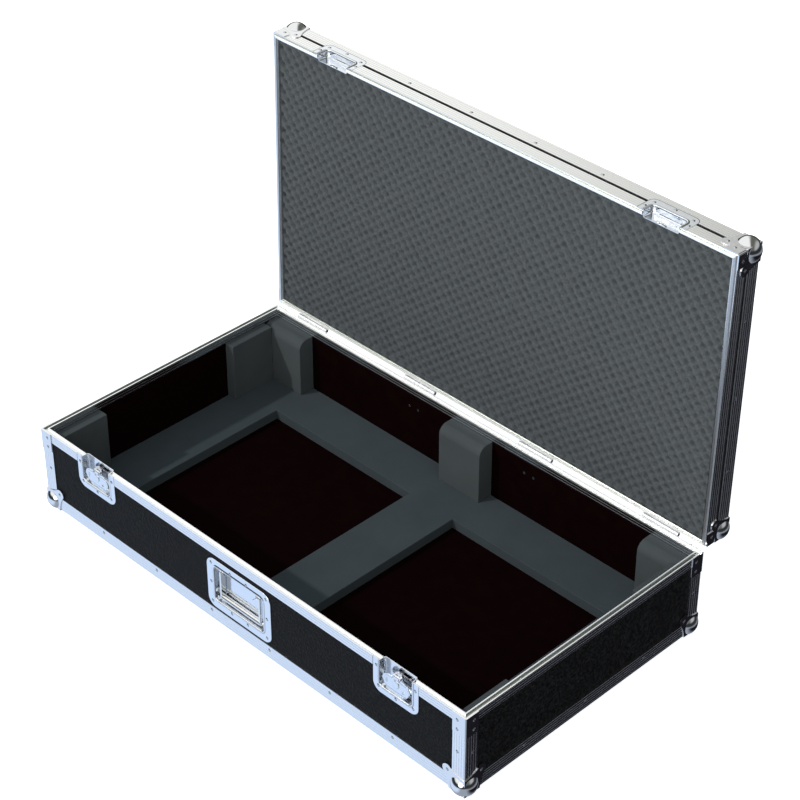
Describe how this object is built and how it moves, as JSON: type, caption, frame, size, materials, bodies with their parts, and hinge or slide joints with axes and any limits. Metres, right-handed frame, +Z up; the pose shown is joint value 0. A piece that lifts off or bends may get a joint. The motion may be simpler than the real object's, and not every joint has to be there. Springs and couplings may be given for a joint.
{
  "type": "flight case",
  "caption": "Hard flight case for a keyboard: film-faced boards in aluminium profiles, ball corners, twist latches, recessed sprung handle, hinged lid and foam lining.",
  "frame": {"origin": "middle of the underside of the floor board, between the bottom edge profiles", "axes": "+X to the right along the front, +Y from the latches to the hinges, +Z up; the lid is open"},
  "size_m": [1.1698, 0.7203, 0.8291],
  "materials": {
    "laminated_board": "phenolic film, fine pebble",
    "aluminium_profile": "mill extruded, bright, finely grooved",
    "chromed_steel": "polished",
    "zinc_plated_steel": "satin, bluish",
    "hook_steel": "dark plated",
    "pin_steel": "plated",
    "spring_steel": "bright wire",
    "hinge_steel": "zinc plated",
    "grip_coating": "smooth light coating",
    "rivet": "bright domes",
    "tray_foam": "open cell, matt",
    "profiled_foam": "egg-crate, matt"
  },
  "bodies": {
    "base": {"base_ball_corners": "chromed_steel", "base_corner_braces": "chromed_steel", "base_corner_posts": "aluminium_profile", "base_edge_back": "aluminium_profile", "base_edge_front": "aluminium_profile", "base_edge_left": "aluminium_profile", "base_edge_right": "aluminium_profile", "base_floor": "laminated_board", "base_rim_back": "aluminium_profile", "base_rim_front": "aluminium_profile", "base_rim_left": "aluminium_profile", "base_rim_right": "aluminium_profile", "base_rivets": "rivet", "base_wall_back": "laminated_board", "base_wall_front": "laminated_board", "base_wall_left": "laminated_board", "base_wall_right": "laminated_board", "foam_blocks_back": "tray_foam", "foam_blocks_left": "tray_foam", "foam_blocks_right": "tray_foam", "foam_tray": "tray_foam", "handle_dish": "zinc_plated_steel", "handle_pins": "pin_steel", "handle_springs": "spring_steel", "hinge_base_leaves": "hinge_steel", "hinge_base_rivets": "rivet", "hinge_pins": "pin_steel", "latch_dish_left": "zinc_plated_steel", "latch_dish_right": "zinc_plated_steel"},
    "bail": {"handle_bail": "grip_coating"},
    "lid": {"hinge_lid_leaves": "hinge_steel", "hinge_lid_rivets": "rivet", "keeper_dish_left": "zinc_plated_steel", "keeper_dish_right": "zinc_plated_steel", "lid_ball_corners": "chromed_steel", "lid_corner_braces": "chromed_steel", "lid_edge_back": "aluminium_profile", "lid_edge_front": "aluminium_profile", "lid_edge_left": "aluminium_profile", "lid_edge_right": "aluminium_profile", "lid_foam": "profiled_foam", "lid_rim_back": "aluminium_profile", "lid_rim_front": "aluminium_profile", "lid_rim_left": "aluminium_profile", "lid_rim_right": "aluminium_profile", "lid_rivets": "rivet", "lid_top": "laminated_board", "lid_wall_back": "laminated_board", "lid_wall_front": "laminated_board", "lid_wall_left": "laminated_board", "lid_wall_right": "laminated_board"},
    "latch_hook_left": {"latch_hook_left": "hook_steel"},
    "latch_hook_right": {"latch_hook_right": "hook_steel"},
    "latch_spindle_left": {"latch_pin_left": "pin_steel", "latch_spindle_left": "pin_steel"},
    "latch_spindle_right": {"latch_pin_right": "pin_steel", "latch_spindle_right": "pin_steel"},
    "latch_wing_left": {"latch_wing_left": "zinc_plated_steel"},
    "latch_wing_right": {"latch_wing_right": "zinc_plated_steel"}
  },
  "joints": [
    {"name": "lid_hinge", "type": "hinge", "parent": "base", "child": "lid", "pos_m": [0, 0.3169, 0.1813], "axis": [1, 0, 0], "range_deg": [0, 91]},
    {"name": "latch_left_turn", "type": "hinge", "parent": "base", "child": "latch_spindle_left", "pos_m": [-0.408, -0.311, 0.1633], "axis": [0, -1, 0], "range_deg": [0, 180]},
    {"name": "latch_left_hook", "type": "hinge", "parent": "base", "child": "latch_hook_left", "pos_m": [-0.408, -0.311, 0.1633], "axis": [0, -1, 0], "range_deg": [0, 90]},
    {"name": "latch_left_lift", "type": "hinge", "parent": "latch_spindle_left", "child": "latch_wing_left", "pos_m": [-0.408, -0.3065, 0.1633], "axis": [-1, 0, 0], "range_deg": [0, 90]},
    {"name": "latch_right_turn", "type": "hinge", "parent": "base", "child": "latch_spindle_right", "pos_m": [0.408, -0.311, 0.1633], "axis": [0, -1, 0], "range_deg": [0, 180]},
    {"name": "latch_right_hook", "type": "hinge", "parent": "base", "child": "latch_hook_right", "pos_m": [0.408, -0.311, 0.1633], "axis": [0, -1, 0], "range_deg": [0, 90]},
    {"name": "latch_right_lift", "type": "hinge", "parent": "latch_spindle_right", "child": "latch_wing_right", "pos_m": [0.408, -0.3065, 0.1633], "axis": [-1, 0, 0], "range_deg": [0, 90]},
    {"name": "handle_swing", "type": "hinge", "parent": "base", "child": "bail", "pos_m": [0, -0.3037, 0.1228], "axis": [-1, 0, 0], "range_deg": [0, 90], "stiffness_Nm_per_rad": 0.15, "springref_deg": -22.92}
  ],
  "couplings": [
    {"joint": "latch_left_hook", "follows": "latch_left_turn", "ratio": 0.5},
    {"joint": "latch_right_hook", "follows": "latch_right_turn", "ratio": 0.5}
  ]
}
